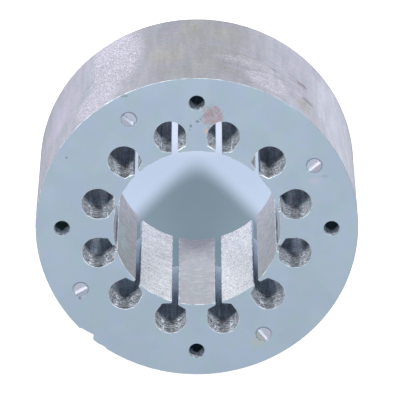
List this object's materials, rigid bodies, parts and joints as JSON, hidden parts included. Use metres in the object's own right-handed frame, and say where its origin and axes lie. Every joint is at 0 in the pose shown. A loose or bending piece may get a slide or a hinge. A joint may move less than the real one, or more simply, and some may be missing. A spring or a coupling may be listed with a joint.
{
  "type": "motor stator",
  "caption": "Bare laminated stator core of a small electric motor: a stack of stamped steel sheets with a rotor bore, round winding slots, bolt holes and tie pins.",
  "frame": {"origin": "centre of the back end face, on which the core stands", "axes": "+Z along the rotor axis towards the front end face, +X through a bolt hole"},
  "size_m": [0.07, 0.07, 0.0358],
  "materials": {
    "lamination_steel": "electrical steel with a thin satin blue-grey insulating coat on its faces, turned bright on the rim and ground on the tooth tips",
    "tie_pin_steel": "bare drawn steel, bright in the chisel mark"
  },
  "bodies": {
    "root": {"lamination_01": "lamination_steel", "lamination_02": "lamination_steel", "lamination_03": "lamination_steel", "lamination_04": "lamination_steel", "lamination_05": "lamination_steel", "lamination_06": "lamination_steel", "lamination_07": "lamination_steel", "lamination_08": "lamination_steel", "lamination_09": "lamination_steel", "lamination_10": "lamination_steel", "lamination_11": "lamination_steel", "lamination_12": "lamination_steel", "lamination_13": "lamination_steel", "lamination_14": "lamination_steel", "lamination_15": "lamination_steel", "lamination_16": "lamination_steel", "lamination_17": "lamination_steel", "lamination_18": "lamination_steel", "lamination_19": "lamination_steel", "lamination_20": "lamination_steel", "lamination_21": "lamination_steel", "lamination_22": "lamination_steel", "lamination_23": "lamination_steel", "lamination_24": "lamination_steel", "lamination_25": "lamination_steel", "lamination_26": "lamination_steel", "lamination_27": "lamination_steel", "lamination_28": "lamination_steel", "lamination_29": "lamination_steel", "lamination_30": "lamination_steel", "lamination_31": "lamination_steel", "lamination_32": "lamination_steel", "lamination_33": "lamination_steel", "lamination_34": "lamination_steel", "lamination_35": "lamination_steel", "lamination_36": "lamination_steel", "lamination_37": "lamination_steel", "lamination_38": "lamination_steel", "lamination_39": "lamination_steel", "lamination_40": "lamination_steel", "lamination_41": "lamination_steel", "lamination_42": "lamination_steel", "lamination_43": "lamination_steel", "lamination_44": "lamination_steel", "lamination_45": "lamination_steel", "lamination_46": "lamination_steel", "lamination_47": "lamination_steel", "lamination_48": "lamination_steel", "lamination_49": "lamination_steel", "lamination_50": "lamination_steel", "lamination_51": "lamination_steel", "lamination_52": "lamination_steel", "lamination_53": "lamination_steel", "lamination_54": "lamination_steel", "lamination_55": "lamination_steel", "tie_pin_1": "tie_pin_steel", "tie_pin_2": "tie_pin_steel", "tie_pin_3": "tie_pin_steel", "tie_pin_4": "tie_pin_steel"}
  },
  "joints": []
}
